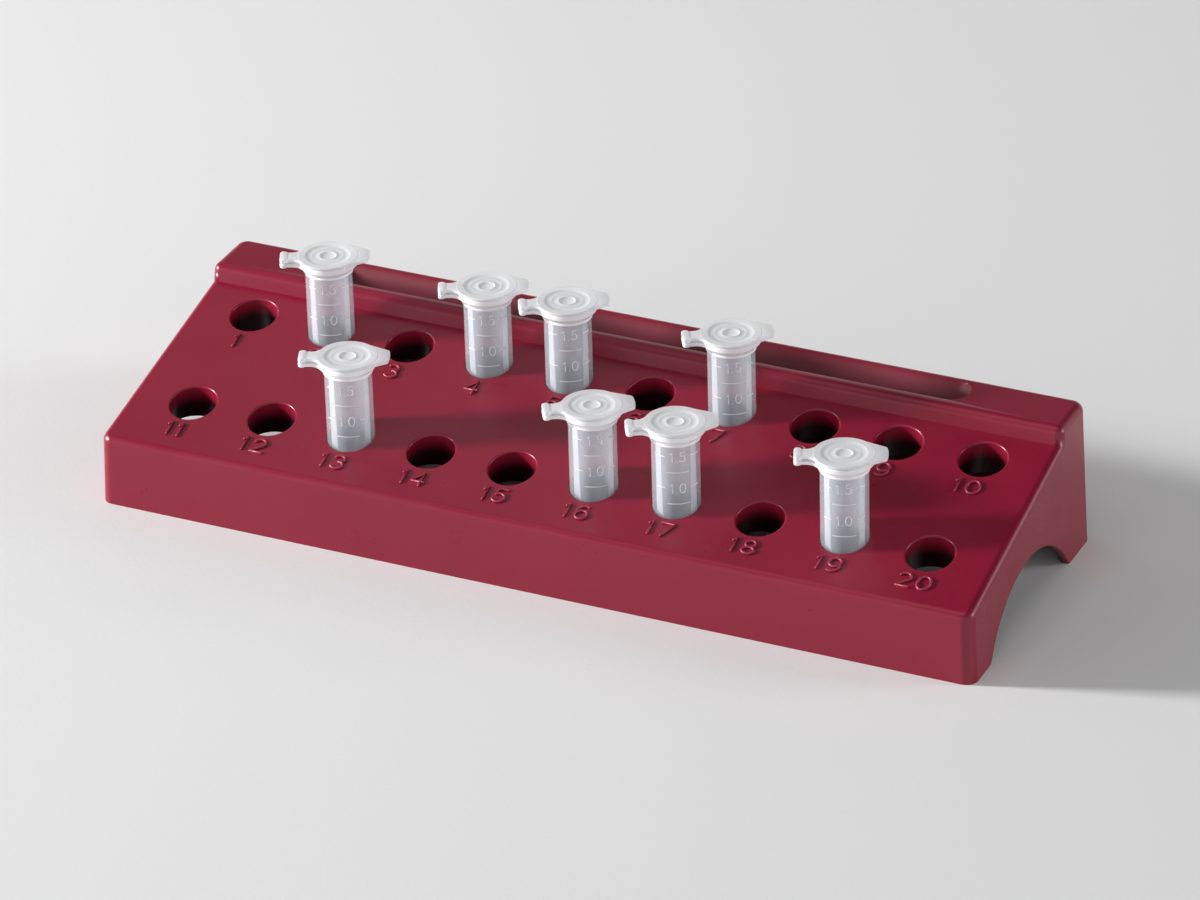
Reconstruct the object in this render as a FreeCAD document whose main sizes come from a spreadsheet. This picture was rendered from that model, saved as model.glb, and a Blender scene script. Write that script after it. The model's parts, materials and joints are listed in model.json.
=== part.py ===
import FreeCAD, Part
import math
import os
import re
import Sketcher

# Rack for small flip-lid tubes, in millimetres.
# Frame: origin at the middle of the base on the table, +X along the rows, +Y to the raised
# ridge at the back, +Z up. Each tube has a frame of its own: z = 0 is the rim of its mouth,
# +X points from the lid's fold to its thumb tab.

SIZES = {
    # two rows of bores, and the deck around them
    "bore_diameter": 11.0,
    "bore_pitch": 20.3,
    "columns": 10,
    "row_spacing": 31.0,
    "end_margin": 16.8,
    "front_margin": 16.4,
    "back_margin": 8.3,
    "sleeve_wall": 1.6,
    "sleeve_depth": 6.5,
    # moulded body
    "front_height": 17.2,
    "deck_angle": 13.85,
    "deck_thickness": 2.4,
    "wall": 2.0,
    "end_draft": 2.4,
    "side_draft": 0.4,
    "corner_radius": 2.9,
    "edge_round": 2.0,
    # ridge behind the deck, and the trough for a pen along it
    "ridge_depth": 15.9,
    "ridge_rise": 4.1,
    "ridge_lean": 0.7,
    "trough_depth": 4.0,
    "trough_floor": 2.0,
    "trough_front_land": 3.2,
    "trough_back_land": 2.05,
    "trough_end_margin": 26.7,
    # finger arches in both end walls
    "arch_front_margin": 10.8,
    "arch_back_margin": 13.8,
    "arch_height": 13.5,
    # tube
    "tube_clearance": 0.05,
    "tube_wall": 0.95,
    "tube_stand_out": 19.65,
    "tube_reach": 38.7,
    "barrel_length": 23.0,
    "tip_radius": 1.6,
    "rim_flange": 1.35,
    "rim_thickness": 1.35,
    # lid
    "lid_gap": 0.05,
    "lid_thickness": 0.8,
    "lid_overhang": 0.2,
    "shoulder_angle": 60.0,
    "tab_length": 2.7,
    "tab_crown": 0.6,
    "tab_corner": 1.0,
    "plug_clearance": 0.2,
    "plug_wall": 0.8,
    "plug_depth": 1.9,
    # folded strap that joins tube and lid
    "strap_length": 1.8,
    "strap_width": 4.2,
    "strap_thickness": 0.8,
    "strap_fillet": 1.5,
    "fold_drop": 0.2,
    "fold_gap": 0.1,
    "fold_length": 2.3,
    "fold_width": 4.6,
    "fold_thickness": 1.05,
    "fold_round": 0.7,
}

# Position number of each tube, the way its thumb tab points in degrees from +X, and how much
# further than tube_stand_out it is drawn up out of its bore.
TUBES = {
    2: (25.0, -0.9),
    4: (25.5, -0.8),
    5: (30.5, -0.6),
    7: (30.0, -0.7),
    13: (21.0, 0.0),
    16: (31.5, 0.0),
    17: (30.0, 0.0),
    19: (22.0, 0.5),
}

# Formulas shared by several features, written in the sheet's own names.
BASE_LENGTH = "(bore_pitch * (columns - 1) + 2 * end_margin)"
BASE_DEPTH = "(front_margin + row_spacing + back_margin + ridge_depth)"
FIRST_COLUMN = "(-bore_pitch * (columns - 1) / 2)"
FRONT_ROW = f"(-{BASE_DEPTH} / 2 + front_margin)"
BACK_ROW = f"({FRONT_ROW} + row_spacing)"
FRONT_EDGE = f"(-{BASE_DEPTH} / 2 + front_height * tan(side_draft))"
DECK_AT_ZERO = f"(front_height - {FRONT_EDGE} * tan(deck_angle))"
DECK_DROP = "(deck_thickness / cos(deck_angle))"
RIDGE_FOOT = f"({BACK_ROW} + back_margin)"
RIDGE_FOOT_HEIGHT = f"({DECK_AT_ZERO} + {RIDGE_FOOT} * tan(deck_angle))"
TOP_HEIGHT = f"({RIDGE_FOOT_HEIGHT} + ridge_rise)"
BACK_EDGE = f"({BASE_DEPTH} / 2 - {TOP_HEIGHT} * tan(side_draft))"
SLEEVE_RADIUS = "(bore_diameter / 2 + sleeve_wall)"
TROUGH_FRONT = f"({RIDGE_FOOT} + ridge_lean + trough_front_land)"
TROUGH_BACK = f"({BACK_EDGE} - trough_back_land)"
TROUGH_WIDTH = f"({TROUGH_BACK} - {TROUGH_FRONT})"
TROUGH_RADIUS = f"(({TROUGH_WIDTH} ^ 2 / 4 + trough_depth ^ 2) / (2 * trough_depth))"
ARCH_FRONT = f"(-{BASE_DEPTH} / 2 + arch_front_margin)"
ARCH_BACK = f"({BASE_DEPTH} / 2 - arch_back_margin)"
ARCH_HALF = f"(({ARCH_BACK} - {ARCH_FRONT}) / 2)"
ARCH_RADIUS = f"(({ARCH_HALF} ^ 2 + arch_height ^ 2) / (2 * arch_height))"
BARREL_RADIUS = "(bore_diameter / 2 - tube_clearance)"
MOUTH_RADIUS = f"({BARREL_RADIUS} - tube_wall)"
RIM_RADIUS = f"({BARREL_RADIUS} + rim_flange)"
LID_RADIUS = f"({RIM_RADIUS} + lid_overhang)"
TAB_SHOULDER = f"({LID_RADIUS} + tab_length - tab_crown)"
TAB_HALF_WIDTH = f"(({LID_RADIUS} - {TAB_SHOULDER} * cos(shoulder_angle)) / sin(shoulder_angle))"
TAB_BULGE = f"(({TAB_HALF_WIDTH} ^ 2 + tab_crown ^ 2) / (2 * tab_crown))"
STRAP_START = f"sqrt({LID_RADIUS} ^ 2 - strap_width ^ 2 / 4)"
FOLD_START = f"({LID_RADIUS} + strap_length)"
FOLD_END = f"({FOLD_START} + fold_length)"
LOWER_FOLD = "(-fold_drop - fold_gap / 2 - fold_thickness)"
UPPER_FOLD = "(-fold_drop + fold_gap / 2)"

# Cuts run this far beyond the faces they pass through.
PAST_THE_WALL = 5.0

# Two places this near are one. A direction whose share along an axis is over MOSTLY runs that way,
# and one whose share is under BARELY stands square to it.
NEAR = 0.01
MOSTLY = 0.9
BARELY = 0.0001

# A sketch counts the points of a circle: its two ends, then its centre.
CIRCLE_CENTRE = len(("start", "end", "centre"))


def formula(text):
    """Turn a formula in the sheet's names into one that any object can use."""
    return re.sub(r"[a-z_]+", lambda m: "Sizes." + m[0] if m[0] in SIZES else m[0], str(text))


def make_sheet(doc):
    sheet = doc.addObject("Spreadsheet::Sheet", "Sizes")
    for row, (name, value) in enumerate(SIZES.items(), start=1):
        sheet.set(f"A{row}", name)
        sheet.set(f"B{row}", str(value))
        sheet.setAlias(f"B{row}", name)
    doc.recompute()
    return sheet


def size(doc, text):
    """The present value of a formula, as a plain number."""
    value = doc.Sizes.evalExpression(formula(text))
    return float(getattr(value, "Value", value))


def bind(feature, **formulas):
    """Tie properties of a feature to formulas in the sheet's names."""
    for name, text in formulas.items():
        feature.setExpression(name.replace("__", "."), formula(text))


def new_sketch(body, name, plane, height="0", along="0"):
    """A sketch on one of the body's own planes, at a height along the plane's normal."""
    doc = body.Document
    sketch = body.newObject("Sketcher::SketchObject", f"{body.Name}_{name}")
    support = next(item for item in body.Origin.OriginFeatures if item.Role == plane)
    sketch.AttachmentSupport = [(support, "")]
    sketch.MapMode = "FlatFace"
    sketch.setExpression(".AttachmentOffset.Base.z", formula(height))
    sketch.setExpression(".AttachmentOffset.Base.y", formula(along))
    doc.recompute()
    return sketch


def outline(body, name, plane, corners, height="0", along="0"):
    """A closed outline through the corners (x, y), each bound to its formulas.

    A corner (x, y, radius, side) starts an arc to the next corner, shorter than half a turn,
    with its centre to the left (side 1) or the right (side -1) of the way there.
    """
    doc = body.Document
    sketch = new_sketch(body, name, plane, height, along)
    points = [FreeCAD.Vector(size(doc, corner[0]), size(doc, corner[1]), 0) for corner in corners]
    ends = []
    for index, corner in enumerate(corners):
        start = points[index]
        end = points[(index + 1) % len(points)]
        if len(corner) == 2:
            sketch.addGeometry(Part.LineSegment(start, end))
            ends.append((1, 2))
        else:
            sketch.addGeometry(arc(start, end, size(doc, corner[2]), corner[3]))
            ends.append((1, 2) if corner[3] > 0 else (2, 1))
    for index in range(len(corners)):
        after = (index + 1) % len(corners)
        joint = Sketcher.Constraint("Coincident", index, ends[index][1], after, ends[after][0])
        sketch.addConstraint(joint)
    for index, corner in enumerate(corners):
        fix_point(sketch, index, ends[index][0], corner)
        if len(corner) == 4:
            fix_radius(sketch, index, corner[2])
    doc.recompute()
    return sketch


def arc(start, end, radius, side):
    """An arc of less than half a turn, drawn anticlockwise whichever way it is travelled."""
    chord = end - start
    left = FreeCAD.Vector(-chord.y, chord.x, 0).normalize()
    rise = (radius ** 2 - chord.Length ** 2 / 4) ** 0.5
    centre = (start + end) / 2 + left * rise * side
    circle = Part.Circle(centre, FreeCAD.Vector(0, 0, 1), radius)
    first, last = (start, end) if side > 0 else (end, start)
    from_angle = circle.parameter(first)
    to_angle = circle.parameter(last)
    if to_angle < from_angle:
        to_angle += 2 * math.pi
    return Part.ArcOfCircle(circle, from_angle, to_angle)


def fix_point(sketch, index, end, place):
    """Bind a point of the sketch to the formulas of its place."""
    doc = sketch.Document
    for kind, text in (("DistanceX", place[0]), ("DistanceY", place[1])):
        number = sketch.addConstraint(Sketcher.Constraint(kind, -1, 1, index, end, size(doc, text)))
        sketch.setExpression(f"Constraints[{number}]", formula(text))


def fix_radius(sketch, index, text):
    """Bind the radius of a circle or arc of the sketch."""
    number = sketch.addConstraint(Sketcher.Constraint("Radius", index, size(sketch.Document, text)))
    sketch.setExpression(f"Constraints[{number}]", formula(text))


def circles(body, name, plane, items, height="0"):
    """A sketch of circles (x, y, radius), each bound to its formulas."""
    doc = body.Document
    sketch = new_sketch(body, name, plane, height)
    for index, (x, y, radius) in enumerate(items):
        centre = FreeCAD.Vector(size(doc, x), size(doc, y), 0)
        sketch.addGeometry(Part.Circle(centre, FreeCAD.Vector(0, 0, 1), size(doc, radius)))
        fix_point(sketch, index, CIRCLE_CENTRE, (x, y))
        fix_radius(sketch, index, radius)
    doc.recompute()
    return sketch


def feature(body, kind, name, sketch=None, options=None, **formulas):
    """Add a feature to the body, bind its sizes and build it."""
    made = body.newObject(f"PartDesign::{kind}", f"{body.Name}_{name}")
    if sketch is not None:
        made.Profile = sketch
    for key, value in (options or {}).items():
        setattr(made, key, value)
    bind(made, **formulas)
    body.Document.recompute()
    return made


def cut(body, kind, name, sketch=None, options=None, **formulas):
    """A feature that takes material away, and is seen to do so."""
    before = body.Shape.Volume
    made = feature(body, kind, name, sketch, options, **formulas)
    if made.Shape.Volume > before - NEAR:
        raise ValueError(f"{made.Name} removes nothing")
    return made


def edge_names(solid, test):
    """Names of the solid's edges whose middle passes the test."""
    names = []
    for number, edge in enumerate(solid.Shape.Edges, start=1):
        middle = edge.valueAt((edge.FirstParameter + edge.LastParameter) / 2)
        if test(edge, middle):
            names.append(f"Edge{number}")
    return names


def rounded(body, name, test, radius):
    """Round the edges of the body's tip that pass the test."""
    base = body.Tip
    names = edge_names(base, test)
    if not names:
        raise ValueError(f"{body.Name}_{name} finds no edge")
    return feature(body, "Fillet", name, options={"Base": (base, names)}, Radius=radius)


def rectangle(half_x, half_y):
    """Corners of a rectangle about the origin."""
    return [(f"-{half_x}", f"-{half_y}"), (half_x, f"-{half_y}"), (half_x, half_y), (f"-{half_x}", half_y)]


def face_names(solid, test):
    """Names of the solid's faces whose outward normal and centre pass the test."""
    names = []
    for number, face in enumerate(solid.Shape.Faces, start=1):
        if test(face_normal(face), face.CenterOfMass):
            names.append(f"Face{number}")
    return names


def face_normal(face):
    """Outward normal at the middle of a face."""
    low_u, high_u, low_v, high_v = face.ParameterRange
    return face.normalAt((low_u + high_u) / 2, (low_v + high_v) / 2)


def drafted(body, name, test, angle, inward=False):
    """Lean the upright walls that pass the test by an angle, about the table plane."""
    base = body.Tip
    table = next(item for item in body.Origin.OriginFeatures if item.Role == "XY_Plane")
    options = {
        "Base": (base, face_names(base, lambda normal, at: abs(normal.z) < BARELY and test(normal))),
        "NeutralPlane": (table, [""]),
        "Reversed": inward,
    }
    return feature(body, "Draft", name, options=options, Angle=angle)


def make_shell(body):
    """Four drafted walls of even thickness, open above and below."""
    foot = outline(body, "foot", "XY_Plane", rectangle(f"({BASE_LENGTH} / 2)", f"({BASE_DEPTH} / 2)"))
    feature(body, "Pad", "block", foot, Length=TOP_HEIGHT)
    drafted(body, "end_lean", lambda normal: abs(normal.x) > MOSTLY, "end_draft")
    drafted(body, "side_lean", lambda normal: abs(normal.y) > MOSTLY, "side_draft")
    inside = rectangle(f"({BASE_LENGTH} / 2 - wall)", f"({BASE_DEPTH} / 2 - wall)")
    well = outline(body, "well", "XY_Plane", inside)
    cut(body, "Pocket", "hollow", well, {"Reversed": True}, Length=f"{TOP_HEIGHT} + {PAST_THE_WALL}")
    drafted(body, "inner_end_lean", lambda normal: abs(normal.x) > MOSTLY, "end_draft", inward=True)
    drafted(body, "inner_side_lean", lambda normal: abs(normal.y) > MOSTLY, "side_draft", inward=True)


def is_steep(edge):
    """Whether an edge rises for most of its length."""
    rise = edge.Vertexes[-1].Point.z - edge.Vertexes[0].Point.z
    return abs(rise) > MOSTLY * edge.Length


def make_sleeves(body):
    """A tube-shaped sleeve for the first bore of each row, long enough to be trimmed to the deck."""
    made = []
    for name, row in (("front", FRONT_ROW), ("back", BACK_ROW)):
        level = f"({DECK_AT_ZERO} + {row} * tan(deck_angle) - sleeve_depth)"
        ring = circles(body, f"{name}_ring", "XY_Plane", [(FIRST_COLUMN, row, SLEEVE_RADIUS)], height=level)
        length = f"(sleeve_depth + {SLEEVE_RADIUS} * tan(deck_angle))"
        made.append(feature(body, "Pad", f"{name}_sleeve", ring, Length=length))
    return made


def repeat_along_row(body, name, originals):
    """Repeat features along X at the bore pitch."""
    pattern = body.newObject("PartDesign::LinearPattern", f"{body.Name}_{name}")
    pattern.Originals = originals
    axis = next(item for item in body.Origin.OriginFeatures if item.Role == "X_Axis")
    pattern.Direction = (axis, [""])
    bind(pattern, Length=f"-2 * {FIRST_COLUMN}", Occurrences="columns")
    body.Tip = pattern
    body.Document.recompute()
    return pattern


def make_deck(body):
    """The sloping deck with the thick ridge behind it, then the cut that gives both their top."""
    overlap = "(wall * 3 / 4)"
    back = f"({BACK_EDGE} - {overlap})"
    front = f"({FRONT_EDGE} + {overlap})"
    under_ridge = f"({TOP_HEIGHT} - trough_depth - trough_floor)"
    knee = f"(({under_ridge} - {DECK_AT_ZERO} + {DECK_DROP}) / tan(deck_angle))"
    plate = outline(body, "plate", "YZ_Plane", [
        (front, f"{DECK_AT_ZERO} + {front} * tan(deck_angle) - {DECK_DROP}"),
        (knee, under_ridge),
        (back, under_ridge),
        (back, TOP_HEIGHT),
        (front, TOP_HEIGHT),
    ])
    feature(body, "Pad", "deck", plate, {"SideType": "Symmetric"},
            Length=f"{BASE_LENGTH} - 2 * {overlap} - 2 * front_height * tan(end_draft)")
    outside = f"(-{BASE_DEPTH} / 2 - {PAST_THE_WALL})"
    above = f"({TOP_HEIGHT} + {PAST_THE_WALL})"
    slope = outline(body, "slope", "YZ_Plane", [
        (outside, f"{DECK_AT_ZERO} + {outside} * tan(deck_angle)"),
        (RIDGE_FOOT, RIDGE_FOOT_HEIGHT),
        (f"{RIDGE_FOOT} + ridge_lean", TOP_HEIGHT),
        (f"{RIDGE_FOOT} + ridge_lean", above),
        (outside, above),
    ])
    cut(body, "Pocket", "top", slope, {"SideType": "Symmetric"},
        Length=f"{BASE_LENGTH} + 2 * {PAST_THE_WALL}")


def round_outside(body):
    """Round the four upright corners, then the rim of the deck and of the ridge."""
    doc = body.Document
    end_lean = size(doc, "tan(end_draft)")
    side_lean = size(doc, "tan(side_draft)")
    half_length = size(doc, f"{BASE_LENGTH} / 2")
    half_depth = size(doc, f"{BASE_DEPTH} / 2")
    foot_height = size(doc, RIDGE_FOOT_HEIGHT)

    def on_corner(edge, at):
        on_end = abs(abs(at.x) + at.z * end_lean - half_length) < NEAR
        on_side = abs(abs(at.y) + at.z * side_lean - half_depth) < NEAR
        return on_end and on_side and is_steep(edge)

    rounded(body, "corners", on_corner, "corner_radius")
    rims = []
    for face in body.Tip.Shape.Faces:
        normal = face_normal(face)
        above_walls = face.CenterOfMass.z > size(doc, "front_height")
        front_of_ridge = normal.y < -MOSTLY and face.CenterOfMass.z > foot_height
        if above_walls and (normal.z > MOSTLY or front_of_ridge):
            rims.extend(face.OuterWire.Edges)

    def on_rim(edge, at):
        foot_of_ridge = abs(at.x) < NEAR and abs(at.z - foot_height) < NEAR
        return any(edge.isSame(rim) for rim in rims) and not foot_of_ridge

    rounded(body, "rim", on_rim, "edge_round")


def make_bores(body):
    """One bore in each row, straight down through deck and sleeve."""
    made = []
    for name, row in (("front", FRONT_ROW), ("back", BACK_ROW)):
        ring = circles(body, f"{name}_hole", "XY_Plane", [(FIRST_COLUMN, row, "bore_diameter / 2")])
        made.append(cut(body, "Pocket", f"{name}_bore", ring, {"Reversed": True}, Length=TOP_HEIGHT))
    return made


def make_trough(body):
    """A round-bottomed, round-ended trough along the ridge, turned about its own long axis."""
    half = f"({BASE_LENGTH} / 2 - trough_end_margin - {TROUGH_WIDTH} / 2)"
    axis_height = f"({TOP_HEIGHT} - trough_depth + {TROUGH_RADIUS})"
    half_section = outline(body, "trough_half", "XZ_Plane", [
        (f"-{half} - {TROUGH_RADIUS}", "0", TROUGH_RADIUS, -1),
        (f"-{half}", TROUGH_RADIUS),
        (half, TROUGH_RADIUS, TROUGH_RADIUS, -1),
        (f"{half} + {TROUGH_RADIUS}", "0"),
    ], height=f"-({TROUGH_FRONT} + {TROUGH_BACK}) / 2", along=axis_height)
    cut(body, "Groove", "trough", half_section,
        {"ReferenceAxis": (half_section, ["H_Axis"]), "Angle": 360})


def make_arches(body):
    """The same round arch through both end walls."""
    arch = outline(body, "arch", "YZ_Plane", [
        (ARCH_FRONT, "0", ARCH_RADIUS, -1),
        (ARCH_BACK, "0"),
    ])
    cut(body, "Pocket", "arches", arch, {"SideType": "Symmetric"},
        Length=f"{BASE_LENGTH} + 2 * {PAST_THE_WALL}")


def make_rack(doc):
    body = doc.addObject("PartDesign::Body", "rack")
    make_shell(body)
    repeat_along_row(body, "sleeves", make_sleeves(body))
    make_deck(body)
    round_outside(body)
    repeat_along_row(body, "bores", make_bores(body))
    make_trough(body)
    make_arches(body)
    return body


def make_barrel(body):
    """The tube's wall from rim to tip, turned about its axis."""
    cone_end = f"({MOUTH_RADIUS} - {BARREL_RADIUS} + tip_radius)"
    wall_section = outline(body, "section", "XZ_Plane", [
        ("0", "-tube_reach"),
        ("tip_radius", "-tube_reach"),
        (BARREL_RADIUS, "-barrel_length"),
        (BARREL_RADIUS, "-rim_thickness"),
        (RIM_RADIUS, "-rim_thickness"),
        (RIM_RADIUS, "0"),
        (MOUTH_RADIUS, "0"),
        (MOUTH_RADIUS, "-barrel_length"),
        (cone_end, "-tube_reach + tube_wall"),
        ("0", "-tube_reach + tube_wall"),
    ])
    feature(body, "Revolution", "barrel", wall_section,
            {"ReferenceAxis": (wall_section, ["V_Axis"]), "Angle": 360})


def make_fold(body, name, low, rounded_level):
    """The thick end where tube and lid meet, with its outer edge rounded at one level."""
    doc = body.Document
    sketch = outline(body, name, "XY_Plane", [
        (f"-{FOLD_END}", "-fold_width / 2"),
        (f"-{FOLD_START}", "-fold_width / 2"),
        (f"-{FOLD_START}", "fold_width / 2"),
        (f"-{FOLD_END}", "fold_width / 2"),
    ], height=low)
    feature(body, "Pad", f"{name}_fold", sketch, Length="fold_thickness")
    outer = -size(doc, FOLD_END)
    height = size(doc, rounded_level)
    rounded(body, "fold_round",
            lambda edge, at: abs(at.x - outer) < NEAR and abs(at.z - height) < NEAR, "fold_round")


def make_tube(doc, number):
    body = doc.addObject("PartDesign::Body", f"tube_{number:02d}")
    make_barrel(body)
    middle_of_wall = f"({BARREL_RADIUS} - tube_wall / 2)"
    middle_of_fold = f"({FOLD_START} + fold_length / 2)"
    strap = outline(body, "strap_outline", "XY_Plane", [
        (f"-{middle_of_fold}", "-strap_width / 2"),
        (f"-{middle_of_wall}", "-strap_width / 2"),
        (f"-{middle_of_wall}", "strap_width / 2"),
        (f"-{middle_of_fold}", "strap_width / 2"),
    ], height=LOWER_FOLD)
    feature(body, "Pad", "strap", strap, Length="strap_thickness")
    make_fold(body, "lower", LOWER_FOLD, LOWER_FOLD)
    return body


def make_lid(doc, number):
    body = doc.addObject("PartDesign::Body", f"lid_{number:02d}")
    make_plate(body)
    make_fold(body, "upper", UPPER_FOLD, f"{UPPER_FOLD} + fold_thickness")
    make_plug(body)
    return body


def make_plate(body):
    """The flat lid: a disc that runs by straight shoulders into its tab, and by fillets into its strap."""
    doc = body.Document
    shoulder_x = f"({LID_RADIUS} * cos(shoulder_angle))"
    shoulder_y = f"({LID_RADIUS} * sin(shoulder_angle))"
    middle_of_fold = f"({FOLD_START} + fold_length / 2)"
    plate = outline(body, "plate", "XY_Plane", [
        (TAB_SHOULDER, f"-{TAB_HALF_WIDTH}", TAB_BULGE, 1),
        (TAB_SHOULDER, TAB_HALF_WIDTH),
        (shoulder_x, shoulder_y, LID_RADIUS, 1),
        (f"-{STRAP_START}", "strap_width / 2"),
        (f"-{middle_of_fold}", "strap_width / 2"),
        (f"-{middle_of_fold}", "-strap_width / 2"),
        (f"-{STRAP_START}", "-strap_width / 2", LID_RADIUS, 1),
        (shoulder_x, f"-{shoulder_y}"),
    ], height="lid_gap")
    feature(body, "Pad", "disc", plate, Length="lid_thickness")
    tab_end = size(doc, TAB_SHOULDER)
    root = size(doc, STRAP_START)
    rounded(body, "tab_corners", lambda edge, at: is_steep(edge) and abs(at.x - tab_end) < NEAR, "tab_corner")
    rounded(body, "strap_roots", lambda edge, at: is_steep(edge) and abs(at.x + root) < NEAR, "strap_fillet")


def make_plug(body):
    """The hollow plug under the lid that closes the tube's mouth."""
    plug_radius = f"({MOUTH_RADIUS} - plug_clearance)"
    plug = outline(body, "plug_section", "XZ_Plane", [
        (f"{plug_radius} - plug_wall", "lid_gap"),
        (f"{plug_radius} - plug_wall", "-plug_depth"),
        (plug_radius, "-plug_depth"),
        (plug_radius, "lid_gap"),
    ])
    feature(body, "Revolution", "plug", plug, {"ReferenceAxis": (plug, ["V_Axis"]), "Angle": 360})


def seat(body, number, angle, lift):
    """Stand a tube or its lid in the bore of its position number."""
    column = (number - 1) % SIZES["columns"]
    row = FRONT_ROW if number > SIZES["columns"] else BACK_ROW
    body.Placement.Rotation = FreeCAD.Rotation(FreeCAD.Vector(0, 0, 1), angle)
    bind(body,
         __Placement__Base__x=f"({column} - (columns - 1) / 2) * bore_pitch",
         __Placement__Base__y=row,
         __Placement__Base__z=f"{DECK_AT_ZERO} + {row} * tan(deck_angle) + tube_stand_out + ({lift})")


def check(doc):
    """Stop if any object failed, or a body has no valid shape."""
    for item in doc.Objects:
        if "Invalid" in item.State or "Error" in item.State:
            raise ValueError(f"{item.Name} failed: {item.State}")
        if item.TypeId == "PartDesign::Body":
            if item.Shape.isNull() or not item.Shape.isValid() or len(item.Shape.Solids) != 1:
                raise ValueError(f"{item.Name} is not one valid solid")


def main():
    doc = FreeCAD.newDocument("MicrotubeRack")
    make_sheet(doc)
    bodies = [make_rack(doc)]
    for number, (angle, lift) in TUBES.items():
        for make in (make_tube, make_lid):
            body = make(doc, number)
            seat(body, number, angle, lift)
            bodies.append(body)
    doc.recompute()
    check(doc)
    os.makedirs("parts", exist_ok=True)
    for body in bodies:
        body.Label = body.Name
        body.Shape.exportStep(f"parts/{body.Label}.step")
        print(body.Label, round(body.Shape.Volume, 1), "mm3")


main()
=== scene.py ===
"""Microtube rack: a crimson moulded rack with clear flip-lid tubes, dressed over its fixed frame."""

import json
import math

import bmesh
import bpy
from mathutils import Matrix, Vector


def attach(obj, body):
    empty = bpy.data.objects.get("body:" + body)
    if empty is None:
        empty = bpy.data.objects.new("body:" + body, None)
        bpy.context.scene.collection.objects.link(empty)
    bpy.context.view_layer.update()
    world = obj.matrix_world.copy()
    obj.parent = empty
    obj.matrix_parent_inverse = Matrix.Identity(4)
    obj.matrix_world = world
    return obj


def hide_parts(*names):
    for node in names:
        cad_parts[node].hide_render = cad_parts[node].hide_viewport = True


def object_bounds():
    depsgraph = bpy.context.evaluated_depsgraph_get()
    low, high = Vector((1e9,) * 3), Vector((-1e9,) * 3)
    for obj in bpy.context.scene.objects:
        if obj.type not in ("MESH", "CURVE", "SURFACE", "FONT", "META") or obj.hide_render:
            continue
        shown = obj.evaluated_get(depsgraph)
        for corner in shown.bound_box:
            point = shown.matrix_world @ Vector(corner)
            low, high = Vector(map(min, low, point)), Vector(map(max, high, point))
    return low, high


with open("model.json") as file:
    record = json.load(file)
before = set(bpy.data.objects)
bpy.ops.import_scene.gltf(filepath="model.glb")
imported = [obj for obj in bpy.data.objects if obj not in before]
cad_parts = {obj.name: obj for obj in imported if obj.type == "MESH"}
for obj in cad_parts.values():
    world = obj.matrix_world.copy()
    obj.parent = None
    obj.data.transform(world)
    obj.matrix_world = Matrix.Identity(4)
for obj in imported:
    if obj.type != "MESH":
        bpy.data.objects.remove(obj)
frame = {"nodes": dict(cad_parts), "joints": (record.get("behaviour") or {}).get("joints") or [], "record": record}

bl_info = {
    "name": "Microtube rack",
    "version": (1, 0, 0),
    "blender": (4, 5, 0),
    "location": "View3D > Sidebar > Microtube rack",
    "description": "Builds the rack, its numbers, its tubes and their flip lids, and the studio",
    "category": "Object",
}

MM = 0.001
CAD_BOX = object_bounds()
HALF_LENGTH, HALF_DEPTH = CAD_BOX[1][0], CAD_BOX[1][1]
MOUNTS = {mount["name"]: mount for mount in frame["record"]["mounts"]}
HINGES = {joint["child"]: joint for joint in frame["joints"]}
FIRST_FRONT = Vector(MOUNTS["bore_11"]["pos_m"])
LAST_FRONT = Vector(MOUNTS["bore_20"]["pos_m"])
FIRST_BACK = Vector(MOUNTS["bore_01"]["pos_m"])
BORE_RADIUS = MOUNTS["bore_01"]["dims"]["r_mm"] * MM
POSITIONS = range(1, 21)
COLUMNS = 10
PITCH = (LAST_FRONT.x - FIRST_FRONT.x) / (COLUMNS - 1)
SLOPE = math.atan2(FIRST_BACK.z - FIRST_FRONT.z, FIRST_BACK.y - FIRST_FRONT.y)
UP_SLOPE = Vector((0, math.cos(SLOPE), math.sin(SLOPE)))
OFF_DECK = Vector((0, -math.sin(SLOPE), math.cos(SLOPE)))
END_LEAN = math.tan(math.radians(2.4))


# sizes and colours

def length(name, description, millimetres):
    return bpy.props.FloatProperty(name=name, description=description, default=millimetres * MM,
                                   unit="LENGTH", precision=5)


def colour(name, description, value):
    return bpy.props.FloatVectorProperty(name=name, description=description, default=value, size=3,
                                         subtype="COLOR", min=0.0, max=1.0)


class RackLooks(bpy.types.PropertyGroup):
    plastic: colour("Plastic", "Colour of the moulded rack", (0.232, 0.0042, 0.025))
    rim_bevel: length("Rim bevel", "Width of the soft edge round each bore and arch", 0.4)
    number_height: length("Number height", "Height of a raised position number", 4.1)
    number_width: length("Number width", "Width of one digit", 3.0)
    number_gap: length("Number gap", "Space between two digits", 1.6)
    number_stroke: length("Number stroke", "Thickness of the raised bead", 0.62)
    number_rise: length("Number rise", "How far the middle of the bead stands over the deck", 0.2)
    number_drop: length("Number drop", "From the middle of a bore to the middle of its number", 9.5)


class TubeLooks(bpy.types.PropertyGroup):
    barrel: length("Barrel radius", "Outside radius of the tube", 5.45)
    bore: length("Mouth radius", "Inside radius of the tube", 4.5)
    rim: length("Rim radius", "Radius of the flange under the lid", 6.8)
    collar: length("Collar radius", "Radius of the collar under the flange", 5.75)
    reach: length("Tube length", "From the rim to the tip", 38.7)
    barrel_length: length("Barrel length", "From the rim to the start of the cone", 23.0)
    mark_stroke: length("Mark stroke", "Thickness of a moulded graduation line", 0.2)
    clear: colour("Clear plastic", "Colour of the tubes", (0.85, 0.92, 0.98))


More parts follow.
